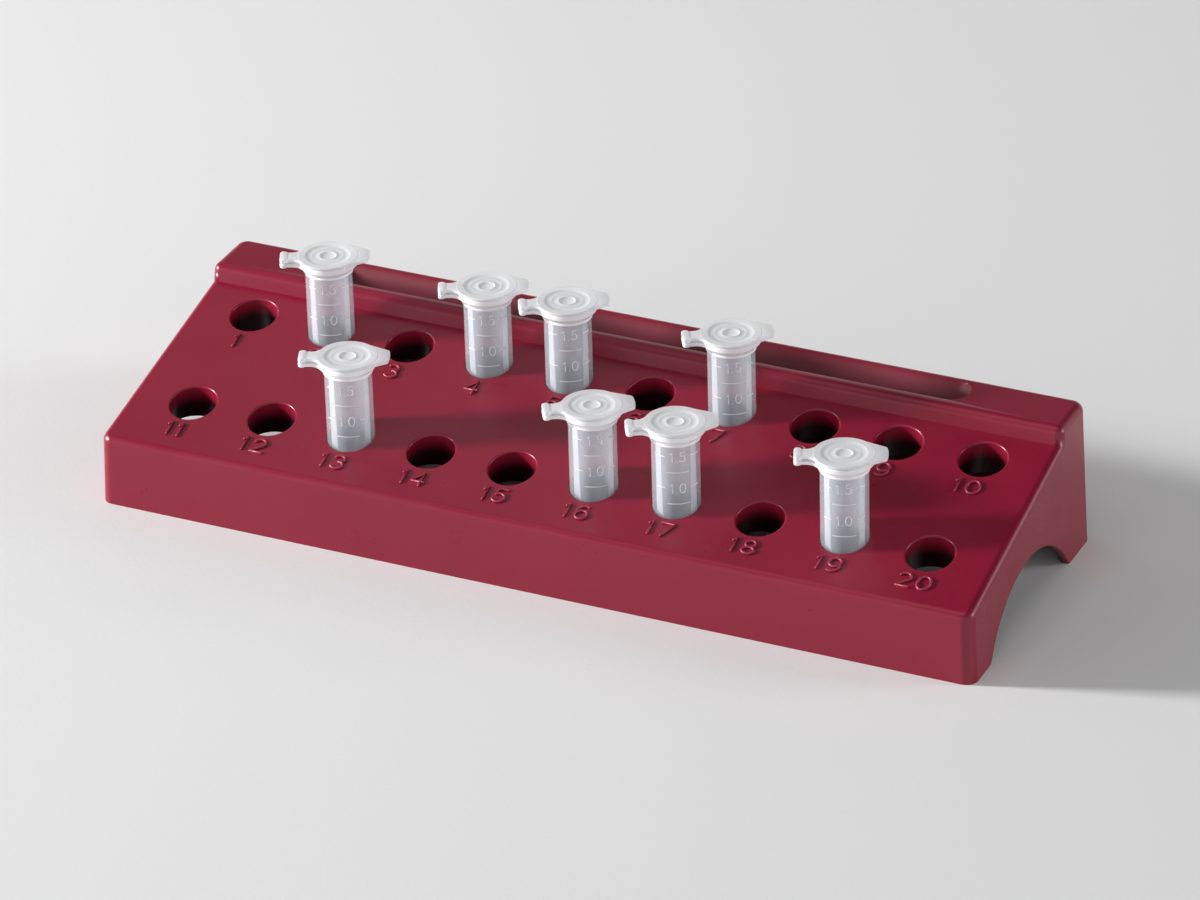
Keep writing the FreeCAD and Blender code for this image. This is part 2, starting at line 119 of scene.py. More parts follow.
class LidLooks(bpy.types.PropertyGroup):
    radius: length("Lid radius", "Radius of the round lid", 7.0)
    tab_reach: length("Tab reach", "From the middle of the lid to the end of its thumb tab", 9.7)
    fold_reach: length("Fold reach", "From the middle of the lid to the line that it turns about", 11.1)
    fold_drop: length("Fold drop", "How far the turning line lies below the rim", 0.2)
    plug: length("Plug radius", "Outside radius of the plug", 4.3)
    clear: colour("Clear plastic", "Colour of the lids", (0.95, 0.96, 0.98))


# materials

# Where a colour mix node keeps its factor, its two colours and its result.
MIX_FACTOR, MIX_FIRST, MIX_SECOND, MIX_RESULT = 0, 6, 7, 2
# Nearly all of a noise texture's values lie between these.
NOISE_LOW, NOISE_HIGH = 0.3, 0.7


def new_material(name):
    material = bpy.data.materials.new(name)
    material.use_nodes = True
    nodes = material.node_tree.nodes
    return material, nodes, material.node_tree.links, nodes["Principled BSDF"]


def noise(nodes, links, coordinates, scale, detail, stretch=None):
    """A noise texture on object coordinates, stretched along an axis where asked."""
    texture = nodes.new("ShaderNodeTexNoise")
    texture.inputs["Scale"].default_value = scale
    texture.inputs["Detail"].default_value = detail
    source = coordinates.outputs["Object"]
    if stretch:
        mapping = nodes.new("ShaderNodeMapping")
        mapping.inputs["Scale"].default_value = stretch
        links.new(source, mapping.inputs["Vector"])
        source = mapping.outputs["Vector"]
    links.new(source, texture.inputs["Vector"])
    return texture.outputs["Fac"]


def stored(nodes, name):
    """A number that is stored on the mesh's points, or 0 where there is none."""
    node = nodes.new("ShaderNodeAttribute")
    node.attribute_name = name
    return node.outputs["Fac"]


def ranged(nodes, links, source, low, high, least, most):
    """Map a value between two limits onto another range."""
    node = nodes.new("ShaderNodeMapRange")
    node.inputs["From Min"].default_value = low
    node.inputs["From Max"].default_value = high
    node.inputs["To Min"].default_value = least
    node.inputs["To Max"].default_value = most
    links.new(source, node.inputs["Value"])
    return node.outputs["Result"]


def spread(nodes, links, factor, least, most):
    """Map a noise factor onto a range of values."""
    return ranged(nodes, links, factor, NOISE_LOW, NOISE_HIGH, least, most)


def paired(nodes, links, operation, first, second):
    """Two values through one mathematical operation; either may be a plain number."""
    node = nodes.new("ShaderNodeMath")
    node.operation = operation
    for socket, value in zip(node.inputs, (first, second)):
        if isinstance(value, float):
            socket.default_value = value
        else:
            links.new(value, socket)
    return node.outputs["Value"]


def mixed(nodes, links, factor, first, second):
    """A colour between two by a factor; either may be a plain colour."""
    node = nodes.new("ShaderNodeMix")
    node.data_type = "RGBA"
    links.new(factor, node.inputs[MIX_FACTOR])
    for index, value in ((MIX_FIRST, first), (MIX_SECOND, second)):
        if isinstance(value, bpy.types.NodeSocket):
            links.new(value, node.inputs[index])
        else:
            node.inputs[index].default_value = (*value, 1.0)
    return node.outputs[MIX_RESULT]


def bumped(nodes, links, shader, layers):
    """Chain bump layers (height, strength, depth in metres) into the shader's normal."""
    normal = None
    for height, strength, depth in layers:
        bump = nodes.new("ShaderNodeBump")
        bump.inputs["Strength"].default_value = strength
        bump.inputs["Distance"].default_value = depth
        links.new(height, bump.inputs["Height"])
        if normal is not None:
            links.new(normal, bump.inputs["Normal"])
        normal = bump.outputs["Normal"]
    links.new(normal, shader.inputs["Normal"])


def rack_plastic(base):
    """Satin moulded plastic with a fine grain and faint flow, with painted shade deep in the bores, the cavity
    under the deck and the trough, and dull in the trough.
    """
    material, nodes, links, shader = new_material("rack_plastic")
    coordinates = nodes.new("ShaderNodeTexCoord")
    flow = noise(nodes, links, coordinates, 18.0, 3.0, stretch=(1.0, 2.5, 1.0))
    cloud = noise(nodes, links, coordinates, 90.0, 4.0)
    grain = noise(nodes, links, coordinates, 2600.0, 2.0)
    ripple = noise(nodes, links, coordinates, 420.0, 2.0)
    darker = tuple(0.88 * value for value in base)
    lighter = tuple(min(1.0, 1.1 * value + 0.002) for value in base)
    # Painted shade: the colour for deep in the bores, in the cavity under the deck and in the trough.
    hollow_painted_shade = tuple(0.06 * value for value in base)
    surface = mixed(nodes, links, flow, darker, lighter)
    # The stored share lays the painted shade over the plastic's own colour.
    links.new(mixed(nodes, links, stored(nodes, "painted_shade_share"), surface, hollow_painted_shade), shader.inputs["Base Color"])
    satin = spread(nodes, links, cloud, 0.27, 0.35)
    dull = paired(nodes, links, "MULTIPLY", stored(nodes, "matte"), 0.5)
    links.new(paired(nodes, links, "MAXIMUM", satin, dull), shader.inputs["Roughness"])
    bumped(nodes, links, shader, [(ripple, 0.2, 0.05 * MM), (grain, 0.4, 0.03 * MM)])
    return material


# How much of the light behind it the clear plastic hides: where the inner skin is seen edge on,
# where it is seen from inside the tube, in the thick mouth, and for the light that casts its shadow.
EDGE_HAZE, LINING_HAZE, MOUTH_HAZE, SHADOW_HAZE = 0.6, 0.45, 0.85, 0.36
# The inner skin counts as edge on from the first of these slants, and fully from the second.
EDGE_FROM, EDGE_TO = 0.38, 0.44
THICK_WHITE = (0.97, 0.98, 1.0)


def clear_plastic(name, base, straight, grazing, roughness):
    """Thin clear plastic: a milky haze that grows where its wall is seen edge on or is thick."""
    material, nodes, links, shader = new_material(name)
    coordinates = nodes.new("ShaderNodeTexCoord")
    cloud = noise(nodes, links, coordinates, 160.0, 2.0)
    ripple = noise(nodes, links, coordinates, 500.0, 1.0)
    inside, thick = stored(nodes, "inside"), stored(nodes, "thick")
    surface = mixed(nodes, links, cloud, tuple(0.96 * value for value in base), base)
    links.new(mixed(nodes, links, thick, surface, THICK_WHITE), shader.inputs["Base Color"])
    links.new(spread(nodes, links, cloud, roughness, roughness + 0.06), shader.inputs["Roughness"])
    shader.inputs["IOR"].default_value = 1.49
    bumped(nodes, links, shader, [(ripple, 0.15, 0.03 * MM)])

    slant = nodes.new("ShaderNodeLayerWeight")
    slant.inputs["Blend"].default_value = 0.5
    facing = slant.outputs["Facing"]
    geometry = nodes.new("ShaderNodeNewGeometry")
    path = nodes.new("ShaderNodeLightPath")
    edge_on = ranged(nodes, links, facing, EDGE_FROM, EDGE_TO, 0.0, EDGE_HAZE)
    front = paired(nodes, links, "SUBTRACT", 1.0, geometry.outputs["Backfacing"])
    lining = paired(nodes, links, "MULTIPLY", inside, front)
    haze = ranged(nodes, links, facing, 0.0, 1.0, straight, grazing)
    for other, share in ((edge_on, inside), (thick, MOUTH_HAZE), (lining, LINING_HAZE),
                         (path.outputs["Is Shadow Ray"], SHADOW_HAZE)):
        part = paired(nodes, links, "MULTIPLY", other, share)
        haze = paired(nodes, links, "MAXIMUM", haze, part)
    links.new(haze, shader.inputs["Alpha"])
    return material


def pale_card():
    """Pale card with a fine tooth."""
    material, nodes, links, shader = new_material("pale_card")
    coordinates = nodes.new("ShaderNodeTexCoord")
    tooth = noise(nodes, links, coordinates, 900.0, 3.0)
    shade = noise(nodes, links, coordinates, 3.0, 2.0)
    links.new(mixed(nodes, links, shade, (0.78, 0.78, 0.78), (0.8, 0.8, 0.8)), shader.inputs["Base Color"])
    links.new(spread(nodes, links, tooth, 0.75, 0.85), shader.inputs["Roughness"])
    shader.inputs["Specular IOR Level"].default_value = 0.15
    bumped(nodes, links, shader, [(tooth, 0.3, 0.1 * MM)])
    return material


# mesh helpers

# A round solid's flat sides, and how near two heights are, in metres, to be one level.
ROUND_STEPS, SAME_LEVEL = 96, 1e-9


def new_object(name, data, material=None):
    obj = bpy.data.objects.new(name, data)
    bpy.context.scene.collection.objects.link(obj)
    if material is not None:
        data.materials.clear()
        data.materials.append(material)
    return obj


def mesh_from(bm, name):
    bmesh.ops.recalc_face_normals(bm, faces=bm.faces)
    mesh = bpy.data.meshes.new(name)
    bm.to_mesh(mesh)
    bm.free()
    return mesh


def turned(name, profile):
    """A closed solid turned about Z from a profile of (radius, height) in millimetres, axis to axis."""
    bm = bmesh.new()
    angles = [2 * math.pi * step / ROUND_STEPS for step in range(ROUND_STEPS)]
    rings = []
    for radius, height in profile:
        wide, around = radius * MM, angles if radius else angles[:1]
        rings.append([bm.verts.new((wide * math.cos(angle), wide * math.sin(angle), height * MM))
                      for angle in around])
    for low, high in zip(rings, rings[1:]):
        for step in range(ROUND_STEPS):
            after = (step + 1) % ROUND_STEPS
            corners = [low[step % len(low)], low[after % len(low)],
                       high[after % len(high)], high[step % len(high)]]
            unique = list(dict.fromkeys(corners))
            if len(unique) > 2:
                bm.faces.new(unique)
    return new_object(name, mesh_from(bm, name))


def slab(name, outline, low, high, bevel):
    """A plate between two heights with softened edges, from an outline in millimetres."""
    bm = bmesh.new()
    face = bm.faces.new([bm.verts.new((x * MM, y * MM, low * MM)) for x, y in outline])
    extruded = bmesh.ops.extrude_face_region(bm, geom=[face])
    raised = [item for item in extruded["geom"] if isinstance(item, bmesh.types.BMVert)]
    bmesh.ops.translate(bm, verts=raised, vec=(0, 0, (high - low) * MM))
    bmesh.ops.recalc_face_normals(bm, faces=bm.faces)
    level = [edge for edge in bm.edges if abs(edge.verts[0].co.z - edge.verts[1].co.z) < SAME_LEVEL]
    bmesh.ops.bevel(bm, geom=level, offset=bevel * MM, segments=2, profile=0.5, affect="EDGES")
    return new_object(name, mesh_from(bm, name))


def frozen(obj, name):
    """The object's mesh with its modifiers in it."""
    bpy.context.view_layer.update()
    evaluated = obj.evaluated_get(bpy.context.evaluated_depsgraph_get())
    mesh = bpy.data.meshes.new_from_object(evaluated)
    mesh.name = name
    return mesh


def joined(name, first, *others):
    """One closed solid from several that overlap."""
    for other in others:
        union = first.modifiers.new("union", "BOOLEAN")
        union.operation = "UNION"
        union.solver = "EXACT"
        union.object = other
    mesh = frozen(first, name)
    for obj in (first, *others):
        bpy.data.objects.remove(obj)
    return mesh


def smoothed(mesh, degrees):
    """Smooth shading that stays crisp at edges sharper than the angle."""
    mesh.polygons.foreach_set("use_smooth", [True] * len(mesh.polygons))
    mesh.set_sharp_from_angle(angle=math.radians(degrees))
    return mesh


def mark_points(mesh, name, values):
    """Store a number on each point for a material or a node tree to read."""
    attribute = mesh.attributes.new(name, "FLOAT", "POINT")
    attribute.data.foreach_set("value", [float(value) for value in values])


def evened(obj, name):
    """Freeze the object with normals that keep its flat faces flat."""
    obj.modifiers.new("even", "WEIGHTED_NORMAL").keep_sharp = True
    mesh = frozen(obj, name)
    obj.modifiers.clear()
    obj.data = mesh


# node trees that repeat and follow

BEAD_SIDES, BEAD_END_RINGS = 8, 6


def new_tree(name, sockets):
    tree = bpy.data.node_groups.new(name, "GeometryNodeTree")
    tree.interface.new_socket("Geometry", in_out="INPUT", socket_type="NodeSocketGeometry")
    for socket, kind in sockets:
        tree.interface.new_socket(socket, in_out="INPUT", socket_type=kind)
    tree.interface.new_socket("Geometry", in_out="OUTPUT", socket_type="NodeSocketGeometry")
    return tree


def finished(tree, source, group_in):
    """End a tree with realised instances in the named material."""
    realise = tree.nodes.new("GeometryNodeRealizeInstances")
    material = tree.nodes.new("GeometryNodeSetMaterial")
    group_out = tree.nodes.new("NodeGroupOutput")
    tree.links.new(source, realise.inputs["Geometry"])
    tree.links.new(realise.outputs["Geometry"], material.inputs["Geometry"])
    tree.links.new(group_in.outputs["Material"], material.inputs["Material"])
    tree.links.new(material.outputs["Geometry"], group_out.inputs["Geometry"])
    return tree


def bead_tree():
    """A round bead along every curve, with a ball on each of its ends."""
    tree = new_tree("raised_bead", [("Radius", "NodeSocketFloat"), ("Material", "NodeSocketMaterial")])
    nodes, links = tree.nodes, tree.links
    group_in = nodes.new("NodeGroupInput")

    ring = nodes.new("GeometryNodeCurvePrimitiveCircle")
    ring.inputs["Resolution"].default_value = BEAD_SIDES
    rod = nodes.new("GeometryNodeCurveToMesh")
    rod.inputs["Fill Caps"].default_value = True
    links.new(group_in.outputs["Radius"], ring.inputs["Radius"])
    links.new(group_in.outputs["Geometry"], rod.inputs["Curve"])
    links.new(ring.outputs["Curve"], rod.inputs["Profile Curve"])

    ends = nodes.new("GeometryNodeCurveEndpointSelection")
    store = nodes.new("GeometryNodeStoreNamedAttribute")
    store.data_type = "BOOLEAN"
    store.domain = "POINT"
    store.inputs["Name"].default_value = "tip"
    points = nodes.new("GeometryNodeCurveToPoints")
    points.mode = "EVALUATED"
    links.new(group_in.outputs["Geometry"], store.inputs["Geometry"])
    links.new(ends.outputs["Selection"], store.inputs["Value"])
    links.new(store.outputs["Geometry"], points.inputs["Curve"])

    tip = nodes.new("GeometryNodeInputNamedAttribute")
    tip.data_type = "BOOLEAN"
    tip.inputs["Name"].default_value = "tip"
    ball = nodes.new("GeometryNodeMeshUVSphere")
    ball.inputs["Segments"].default_value = BEAD_SIDES
    ball.inputs["Rings"].default_value = BEAD_END_RINGS
    caps = nodes.new("GeometryNodeInstanceOnPoints")
    links.new(group_in.outputs["Radius"], ball.inputs["Radius"])
    links.new(points.outputs["Points"], caps.inputs["Points"])
    links.new(tip.outputs["Attribute"], caps.inputs["Selection"])
    links.new(ball.outputs["Mesh"], caps.inputs["Instance"])

    both = nodes.new("GeometryNodeJoinGeometry")
    smooth = nodes.new("GeometryNodeSetShadeSmooth")
    links.new(rod.outputs["Mesh"], both.inputs["Geometry"])
    links.new(caps.outputs["Instances"], both.inputs["Geometry"])
    links.new(both.outputs["Geometry"], smooth.inputs["Geometry"])
    return finished(tree, smooth.outputs["Geometry"], group_in)


def seat_tree():
    """A copy of one object at every point, turned by the point's own angle."""
    tree = new_tree("copies_on_seats", [("Piece", "NodeSocketObject"), ("Material", "NodeSocketMaterial")])
    nodes, links = tree.nodes, tree.links
    group_in = nodes.new("NodeGroupInput")
    info = nodes.new("GeometryNodeObjectInfo")
    turn = nodes.new("GeometryNodeInputNamedAttribute")
    turn.data_type = "FLOAT"
    turn.inputs["Name"].default_value = "turn"
    angles = nodes.new("ShaderNodeCombineXYZ")
    copies = nodes.new("GeometryNodeInstanceOnPoints")
    links.new(group_in.outputs["Piece"], info.inputs["Object"])
    links.new(turn.outputs["Attribute"], angles.inputs["Z"])
    links.new(group_in.outputs["Geometry"], copies.inputs["Points"])
    links.new(info.outputs["Geometry"], copies.inputs["Instance"])
    links.new(angles.outputs["Vector"], copies.inputs["Rotation"])
    return finished(tree, copies.outputs["Instances"], group_in)


def from_tree(obj, tree, name, **values):
    """Run a tree on an object with its named inputs set, and keep the plain mesh."""
    modifier = obj.modifiers.new(name, "NODES")
    modifier.node_group = tree
    for socket in tree.interface.items_tree:
        if socket.in_out == "INPUT" and socket.name in values:
            modifier[socket.identifier] = values[socket.name]
    mesh = frozen(obj, name)
    bpy.data.objects.remove(obj)
    return mesh


def on_seats(name, piece, seats, material):
    """Copies of a piece on seats of (place, turn)."""
    mesh = bpy.data.meshes.new(name + "_seats")
    mesh.from_pydata([place for place, turn in seats], [], [])
    mark_points(mesh, "turn", [turn for place, turn in seats])
    return from_tree(new_object(name + "_seats", mesh), seat_tree(), name, Piece=piece, Material=material)


def beads(name, strokes, radius, material):
    """Round beads along strokes, each a list of points."""
    curve = bpy.data.curves.new(name + "_lines", "CURVE")
    curve.dimensions = "3D"
    for stroke in strokes:
        spline = curve.splines.new("POLY")
        spline.points.add(len(stroke) - 1)
        for point, place in zip(spline.points, stroke):
            point.co = (*place, 1.0)
    return from_tree(new_object(name + "_lines", curve), bead_tree(), name, Radius=radius, Material=material)


# figures

# A narrow figure's width as a share of a plain one's.
NARROW = {"1": 0.4, ".": 0.3}


def sweep(cx, cy, rx, ry, start, end, steps=14):
    """Points of an arc, angles in degrees."""
    angles = [math.radians(start + (end - start) * step / steps) for step in range(steps + 1)]
    return [(cx + rx * math.cos(angle), cy + ry * math.sin(angle)) for angle in angles]


def digit(figure):
    """Strokes of a figure in a box one wide and one high, as a pen would draw them."""
    if figure == "0":
        return [sweep(0.5, 0.5, 0.5, 0.5, 90, 450, 24)]
    if figure == "1":
        return [[(0.0, 0.8), (0.6, 1.0), (0.6, 0.0)]]
    if figure == "2":
        return [sweep(0.5, 0.7, 0.45, 0.3, 160, -35) + [(0.05, 0.0), (1.0, 0.0)]]
    if figure == "3":
        return [sweep(0.47, 0.76, 0.42, 0.24, 150, -90) + sweep(0.47, 0.27, 0.5, 0.27, 90, -150)]
    if figure == "4":
        return [[(0.75, 0.0), (0.75, 1.0), (0.0, 0.3), (1.0, 0.3)]]
    if figure == "5":
        return [[(0.9, 1.0), (0.2, 1.0), (0.12, 0.55)] + sweep(0.45, 0.33, 0.5, 0.33, 125, -150)]
    if figure == "6":
        return [[(1 - x, 1 - y) for x, y in stroke] for stroke in digit("9")]
    if figure == "7":
        return [[(0.0, 1.0), (1.0, 1.0), (0.35, 0.0)]]
    if figure == "8":
        return [sweep(0.5, 0.75, 0.4, 0.25, -90, 270, 18), sweep(0.5, 0.25, 0.48, 0.25, 90, 450, 18)]
    if figure == "9":
        return [sweep(0.5, 0.68, 0.47, 0.32, 0, 360, 20) + sweep(0.4, 0.45, 0.57, 0.45, -10, -115, 8)]
    if figure == ".":
        return [[(0.45, 0.0), (0.55, 0.0)]]
    raise ValueError("no strokes for " + figure)


def written(text, width, height, gap):
    """Strokes of a short number centred on the origin, as (across, up)."""
    widths = [width * NARROW.get(figure, 1.0) for figure in text]
    left = -(sum(widths) + gap * (len(text) - 1)) / 2
    strokes = []
    for figure, wide in zip(text, widths):
        for stroke in digit(figure):
            strokes.append([(left + x * wide, (y - 0.5) * height) for x, y in stroke])
        left += wide + gap
    return strokes


# rack

# The CAD mesh's loose triangles are merged within MERGE, and its flat faces within FLAT degrees.
MERGE, FLAT = 0.0005 * MM, 0.5
# Edges over SHARP degrees may be rims. A bore's rim lies this near the deck and its radius, and the
# arches' edges lie this near an end wall's outer face, beyond END_ZONE and between two heights.
SHARP = 35
NEAR_DECK, NEAR_RADIUS, NEAR_END = 0.02 * MM, 0.1 * MM, 0.05 * MM
END_ZONE, ARCH_LOW, ARCH_HIGH = 104.0 * MM, 0.3 * MM, 14.0 * MM
# Painted shade: a bore's wall is painted darker between these depths under the deck.
PAINTED_SHADE_FROM, PAINTED_SHADE_TO = 1.4 * MM, 4.4 * MM
# Anything this near a bore's axis belongs to its wall.
BORE_WALL = BORE_RADIUS + 0.2 * MM
# The cavity under the deck, which also gets painted shade, starts this far inside the walls, and behind
# the ridge's foot it counts up to this height.
IN_WALL, RIDGE_FOOT, RIDGE_HOLLOW = 1.2 * MM, 19.0 * MM, 27.0 * MM
# The trough's surface lies between its ends, behind TROUGH_FRONT and between two heights. Its painted
# shade grows to the first share below at the depth TROUGH_FULL under the ridge's top.
TROUGH_END, TROUGH_FRONT = 81.95 * MM, 23.0 * MM
TROUGH_LOW, TROUGH_HIGH, RIDGE_TOP = 28.0 * MM, 34.8 * MM, 35.0 * MM
TROUGH_PAINTED_SHADE, TROUGH_FULL = 0.55, 3.5 * MM


def on_deck(number):
    """Middle of a position's bore, on the deck."""
    first = FIRST_FRONT if number > COLUMNS else FIRST_BACK
    return first + Vector(((number - 1) % COLUMNS * PITCH, 0, 0))


def under_deck(place):
    """How far a point lies below the deck's plane, straight down."""
    return FIRST_FRONT.z + (place.y - FIRST_FRONT.y) * math.tan(SLOPE) - place.z


def inside_end(place):
    """How far a point lies inside the nearest end wall's leaning outer face."""
    return HALF_LENGTH - abs(place.x) - place.z * END_LEAN


def near_bore(place, centres):
    """Whether a point lies on a bore's wall or inside it."""
    return any((place - centre).xy.length < BORE_WALL for centre in centres)


def in_trough(place):
    """Whether a point lies in the pen trough, below its rim."""
    along = abs(place.x) < TROUGH_END and place.y > TROUGH_FRONT
    return along and TROUGH_LOW < place.z < TROUGH_HIGH


def soft_edge(edge, centres):
    """Whether an edge of the moulding belongs to a bore's rim or to the arch in an end wall."""
    if len(edge.link_faces) != 2 or edge.calc_face_angle_signed(0.0) < math.radians(SHARP):
        return False
    middle = (edge.verts[0].co + edge.verts[1].co) / 2
    if abs(middle.x) > END_ZONE and ARCH_LOW < middle.z < ARCH_HIGH:
        return abs(inside_end(middle)) < NEAR_END
    if abs(under_deck(middle)) > NEAR_DECK:
        return False
    return any(abs((middle - centre).xy.length - BORE_RADIUS) < NEAR_RADIUS for centre in centres)


def cut_bores(bm, centres):
    """Cut the bores' walls round where their painted shade starts and where it is full."""
    for depth in (PAINTED_SHADE_FROM, PAINTED_SHADE_TO):
        walls = [face for face in bm.faces if near_bore(face.calc_center_median(), centres)]
        edges = dict.fromkeys(edge for face in walls for edge in face.edges)
        corners = dict.fromkeys(vertex for face in walls for vertex in face.verts)
        bmesh.ops.bisect_plane(bm, geom=[*walls, *edges, *corners], dist=1e-7,
                               plane_co=FIRST_FRONT - Vector((0, 0, depth)), plane_no=OFF_DECK)


def shelter(place, centres):
    """How much painted shade a point gets, from 0 to 1, by how deep it lies in a bore, in the cavity under the
    deck or in the trough.
    """
    if in_trough(place):
        return TROUGH_PAINTED_SHADE * min(1.0, (RIDGE_TOP - place.z) / TROUGH_FULL)
    share = (under_deck(place) - PAINTED_SHADE_FROM) / (PAINTED_SHADE_TO - PAINTED_SHADE_FROM)
    share = max(0.0, min(1.0, share))
    if near_bore(place, centres):
        return share
    within = inside_end(place) > IN_WALL and HALF_DEPTH - abs(place.y) > IN_WALL
    hollow_painted_shade = within and (place.y < RIDGE_FOOT or place.z < RIDGE_HOLLOW)
    return share if hollow_painted_shade else 0.0


class RACK_OT_moulding(bpy.types.Operator):
    """Give the moulded rack soft rims and its satin plastic"""
    bl_idname = "microtube_rack.moulding"
    bl_label = "Rack moulding"

    def execute(self, context):
        looks = context.scene.rack_looks
        bm = bmesh.new()
        bm.from_mesh(frame["nodes"]["rack"].data)
        bmesh.ops.remove_doubles(bm, verts=bm.verts, dist=MERGE)
        bmesh.ops.dissolve_limit(bm, angle_limit=math.radians(FLAT), verts=bm.verts, edges=bm.edges)
        centres = [on_deck(number) for number in POSITIONS]
        rims = [edge for edge in bm.edges if soft_edge(edge, centres)]
        if not rims:
            raise RuntimeError("the moulding has no rims to soften")
        bmesh.ops.bevel(bm, geom=rims, offset=looks.rim_bevel, segments=3, profile=0.5, affect="EDGES")
        cut_bores(bm, centres)
        mesh = bpy.data.meshes.new("rack_moulding")
        bm.to_mesh(mesh)
        bm.free()
        # Store on each point how much painted shade it gets.
        mark_points(mesh, "painted_shade_share", [shelter(vertex.co, centres) for vertex in mesh.vertices])
        mark_points(mesh, "matte", [in_trough(vertex.co) for vertex in mesh.vertices])
        piece = new_object("rack_moulding", smoothed(mesh, degrees=40), rack_plastic(looks.plastic))
        evened(piece, "rack_moulding")
        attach(piece, "rack")
        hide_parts("rack")
        return {"FINISHED"}


class RACK_OT_numbers(bpy.types.Operator):
    """Raise the position numbers 1 to 20 on the deck"""
    bl_idname = "microtube_rack.numbers"
    bl_label = "Position numbers"

    def execute(self, context):
        looks = context.scene.rack_looks
        strokes = []
        for number in POSITIONS:
            middle = on_deck(number) - UP_SLOPE * looks.number_drop + OFF_DECK * looks.number_rise
            for stroke in written(str(number), looks.number_width, looks.number_height, looks.number_gap):
                strokes.append([middle + Vector((x, 0, 0)) + UP_SLOPE * y for x, y in stroke])
        material = bpy.data.materials["rack_plastic"]
        mesh = beads("position_numbers", strokes, looks.number_stroke / 2, material)
        piece = new_object("position_numbers", mesh)
        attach(piece, "rack")
        return {"FINISHED"}


# strap and fold, in millimetres from the tube's axis, with the fold towards -X

STRAP_START_TUBE, STRAP_START_LID, STRAP_END = -5.0, -5.8, -9.9
STRAP_HALF_WIDTH, STRAP_FLARE_TUBE, STRAP_FLARE_LID = 1.8, 1.0, 1.2
# A strap widens from FLARE_FROM towards the round edge, and by its whole flare FLARE_OVER further in.
FLARE_FROM, FLARE_OVER = -8.3, 2.1
STRAP_STEPS = 8
FOLD_START, FOLD_NECK = -9.2, 1.6
FOLD_CORNER, FOLD_CORNER_SIDE, FOLD_ROUND = -10.2, 1.45, 0.9


def mirrored(side):
    """An outline from its side with y over 0 and the same side turned over."""
    return side + [(x, -y) for x, y in reversed(side)]


def strap_outline(start, flare):
    """Outline of a strap, flared where it leaves the round edge."""
    side = []
    for step in range(STRAP_STEPS + 1):
        x = start + (STRAP_END - start) * step / STRAP_STEPS
        rise = max(0.0, x - FLARE_FROM) / FLARE_OVER
        side.append((x, STRAP_HALF_WIDTH + flare * rise ** 2))
    return mirrored(side)


def fold_outline():
    """Outline of half the fold, with round corners at its far edge."""
    corner = sweep(FOLD_CORNER, FOLD_CORNER_SIDE, FOLD_ROUND, FOLD_ROUND, 50, 180, 8)
    return mirrored([(FOLD_START, FOLD_NECK)] + corner)


# tubes

# Heights in millimetres below the rim: where the collar ends, and where the thick mouth ends.
COLLAR_END, MOUTH_END = 3.1, 3.05
# Graduations: their figures, the heights of these and of the thin lines, and their sizes.
FIGURES = (("1.5", -5.5), ("1.0", -13.4))
LINES = (-9.4, -17.3)
FIGURE_WIDTH, FIGURE_HEIGHT, FIGURE_GAP = 1.35, 2.3, 0.5
TICK_START, TICK_LENGTH, TICK_STEPS = 3.1, 2.0, 4
LINE_HALF_LENGTH, LINE_STEPS = 2.6, 8
MARK_WHITE = (0.95, 0.97, 1.0)


def seat_of(lid, looks):
    """Middle of a tube's mouth and the turn of its tab, from the line that its lid turns about."""
    joint = HINGES[lid]
    along = Vector((-joint["axis"][1], joint["axis"][0], 0))
    place = Vector(joint["pos_m"]) + along * looks.fold_reach
    place.z += looks.fold_drop
    return place, math.atan2(along.y, along.x)


def tube_profile(looks):
    """The tube's closed wall: up the inside from its floor, over the rim and down to the tip."""
    rim, collar, barrel, bore = (value / MM for value in (looks.rim, looks.collar, looks.barrel, looks.bore))
    reach, straight = looks.reach / MM, looks.barrel_length / MM
    inside = [
        (0.0, -reach + 1.0), (0.7, -reach + 1.1), (1.1, -reach + 1.6), (bore, -straight),
        (bore, -3.15), (bore, -3.0), (bore, -0.25), (bore + 0.2, 0.0),
    ]
    outside = [
        (rim - 0.15, 0.0), (rim, -0.15), (rim, -1.1), (rim - 0.25, -1.35),
        (collar, -2.35), (collar - 0.12, -2.45), (collar - 0.12, -2.55), (collar, -2.65),
        (collar, -2.9), (barrel, -COLLAR_END), (barrel, -straight), (1.95, -reach + 1.2),
        (1.6, -reach + 0.4), (1.1, -reach), (0.0, -reach + 0.15),
    ]
    return inside + outside


def one_tube(looks):
    """One tube with its half of the strap and fold, its inner skin and thick mouth marked."""
    wall = turned("tube_wall", tube_profile(looks))
    outline = strap_outline(STRAP_START_TUBE, STRAP_FLARE_TUBE)
    strap = slab("tube_strap", outline, low=-1.3, high=-0.5, bevel=0.12)
    fold = slab("tube_fold", fold_outline(), low=-1.3, high=-0.25, bevel=0.22)
    mesh = smoothed(joined("tube_whole", wall, strap, fold), degrees=35)
    skin = looks.bore + 0.01 * MM
    mark_points(mesh, "inside", [vertex.co.z < -COLLAR_END * MM and vertex.co.xy.length < skin
                                 for vertex in mesh.vertices])
    mark_points(mesh, "thick", [vertex.co.z > -MOUTH_END * MM for vertex in mesh.vertices])
    return new_object("tube_whole", mesh)


def on_barrel(across, up, looks):
    """A point of a mark on the barrel, in millimetres, on the side that faces the front."""
    angle = -math.pi / 2 + across * MM / looks.barrel
    return Vector((looks.barrel * math.cos(angle), looks.barrel * math.sin(angle), up * MM))


